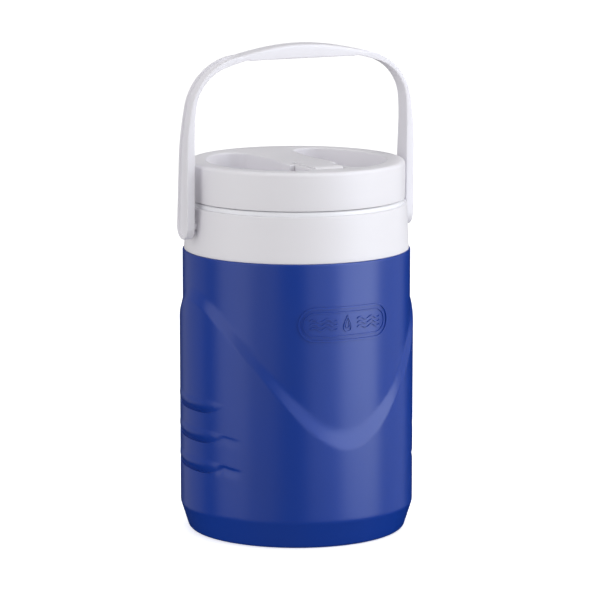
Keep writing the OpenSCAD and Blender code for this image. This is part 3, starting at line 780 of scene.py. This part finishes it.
FINISH = {
    "outer_shell": BLUE, "base_plug": BLUE, "body_foam": FOAM, "inner_liner": LINER, "collar": WHITE,
    "lid_cover": WHITE, "lid_foam": FOAM, "lid_pan": LINER, "spout_grommet": RUBBER, "lid_gasket": RUBBER,
    "spout": WHITE, "handle": HANDLE_WHITE, "grip_insert": HANDLE_WHITE,
}
for node, finish in FINISH.items():
    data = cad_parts[node].data
    data.materials.clear()
    data.materials.append(finish)

PIECE_NODES = (
    (body, "outer_shell"), (collar, "collar"), (bosses, "collar"), (lid_obj, "lid_cover"),
    (spout_obj, "spout"), (handle, "handle"), (grip, "grip_insert"),
)
for piece, node in PIECE_NODES:
    piece.data.materials.append(FINISH[node])

# ---------- floor, light and camera ----------

FLOOR_HALF, FLOOR_GLOW = 5, 0.55
DOME_R, BACKDROP_RADIANCE = 8, 1.0
AMBIENT = 0.6
LIGHT_DISTANCE = 1.5
VIEW_AZIMUTH, VIEW_PITCH, VIEW_DISTANCE = -26, 9.6, 2.8176
TARGET_H, TARGET_LEFT, LENS = 0.1814, 0.00108, 222.2


def emission(name, strength):
    """A material that only gives off white light."""
    mat = bpy.data.materials.new(name)
    mat.use_nodes = True
    nodes = mat.node_tree.nodes
    nodes.clear()
    out, light = nodes.new("ShaderNodeOutputMaterial"), nodes.new("ShaderNodeEmission")
    light.inputs["Strength"].default_value = strength
    mat.node_tree.links.new(light.outputs[0], out.inputs[0])
    return mat


def staged(name, verts, faces, material):
    """A part of the setting, in metres, which lights nothing and is not mirrored in the jug."""
    mesh = bpy.data.meshes.new(name)
    mesh.from_pydata(verts, [], faces)
    mesh.materials.append(material)
    obj = bpy.data.objects.new(name, mesh)
    bpy.context.scene.collection.objects.link(obj)
    obj.visible_glossy = False
    obj.visible_diffuse = False
    return obj


def pale_floor():
    """A pale floor that the object stands on."""
    mat = bpy.data.materials.new("floor_white")
    mat.use_nodes = True
    bsdf = mat.node_tree.nodes["Principled BSDF"]
    bsdf.inputs["Base Color"].default_value = (0.95, 0.95, 0.95, 1)
    bsdf.inputs["Roughness"].default_value = 1
    bsdf.inputs["Specular IOR Level"].default_value = 0
    bsdf.inputs["Emission Color"].default_value = (1, 1, 1, 1)
    bsdf.inputs["Emission Strength"].default_value = FLOOR_GLOW
    corners = [(x * FLOOR_HALF, y * FLOOR_HALF, 0) for x, y in ((-1, -1), (1, -1), (1, 1), (-1, 1))]
    staged("floor", corners, [(0, 1, 2, 3)], mat)


def backdrop():
    """A white dome far away that closes the view off on all sides."""
    bm = bmesh.new()
    bmesh.ops.create_icosphere(bm, subdivisions=3, radius=DOME_R)
    verts, faces = [tuple(v.co) for v in bm.verts], [tuple(v.index for v in f.verts) for f in bm.faces]
    bm.free()
    dome = staged("backdrop_dome", verts, faces, emission("backdrop_white", BACKDROP_RADIANCE))
    dome.visible_shadow = False


def ambient_light():
    """An even white light from all sides, which is not mirrored in the jug."""
    world = bpy.data.worlds.new("studio")
    world.use_nodes = True
    background = world.node_tree.nodes["Background"]
    background.inputs["Color"].default_value = (1, 1, 1, 1)
    background.inputs["Strength"].default_value = AMBIENT
    bpy.context.scene.world = world
    world.cycles_visibility.glossy = False


def direction(azimuth, elevation):
    """A unit vector from the jug, at an azimuth from the front and an elevation, in degrees."""
    a, e = math.radians(azimuth), math.radians(elevation)
    return Vector((math.sin(a) * math.cos(e), -math.cos(a) * math.cos(e), math.sin(e)))


def soft_light(name, azimuth, elevation, width, height, radiance, colour=(1, 1, 1), gloss=False):
    """A rectangular softbox that faces the jug. It makes either the soft shading or only the gloss."""
    data = bpy.data.lights.new(name, "AREA")
    data.shape = "RECTANGLE"
    data.size, data.size_y = width, height
    data.energy = radiance * math.pi * width * height
    data.color = colour
    light = bpy.data.objects.new(name, data)
    back = direction(VIEW_AZIMUTH + azimuth, elevation)
    light.location = Vector((0, 0, TARGET_H)) + back * LIGHT_DISTANCE
    light.rotation_mode = "QUATERNION"
    light.rotation_quaternion = back.to_track_quat("Z", "Y")
    light.visible_diffuse, light.visible_glossy = not gloss, gloss
    bpy.context.scene.collection.objects.link(light)


def camera():
    """The camera, which looks at the middle of the jug from a little above."""
    data = bpy.data.cameras.new("camera")
    data.lens = LENS
    data.sensor_width = 36
    data.clip_start, data.clip_end = 0.1, 30
    cam = bpy.data.objects.new("camera", data)
    back = direction(VIEW_AZIMUTH, VIEW_PITCH)
    left = direction(VIEW_AZIMUTH - 90, 0)
    cam.location = Vector((0, 0, TARGET_H)) + left * TARGET_LEFT + back * VIEW_DISTANCE
    cam.rotation_mode = "QUATERNION"
    cam.rotation_quaternion = back.to_track_quat("Z", "Y")
    bpy.context.scene.collection.objects.link(cam)
    bpy.context.scene.camera = cam


ambient_light()
bpy.context.scene.view_settings.view_transform = "Standard"
pale_floor()
backdrop()

# Azimuth from the camera's, elevation, width, height, radiance and colour
soft_light("key_right", 80, 8, 1.5, 1.6, 2.5, (0.96, 0.98, 1.0))
soft_light("fill_left", -42, 8, 1.2, 1.6, 1.15)
soft_light("top", 180, 76, 1.5, 1.5, 1.15)
soft_light("gloss_front_right", 28, 22, 1.1, 2.5, 1.1, (0.85, 0.92, 1.0), gloss=True)
soft_light("gloss_front_left", -30, 22, 0.8, 2.5, 0.4, gloss=True)
soft_light("gloss_right", 66, 22, 1.4, 2.5, 3.8, (0.78, 0.86, 1.0), gloss=True)
soft_light("gloss_far_right", 115, 18, 1.2, 2.5, 0.6, (0.7, 0.78, 1.0), gloss=True)
soft_light("gloss_left", -64, 22, 1.2, 2.5, 1.22, gloss=True)
soft_light("gloss_far_left", -125, 16, 1.5, 2.6, 0.33, gloss=True)
soft_light("gloss_top", 5, 62, 1.4, 0.5, 1.6, gloss=True)
camera()
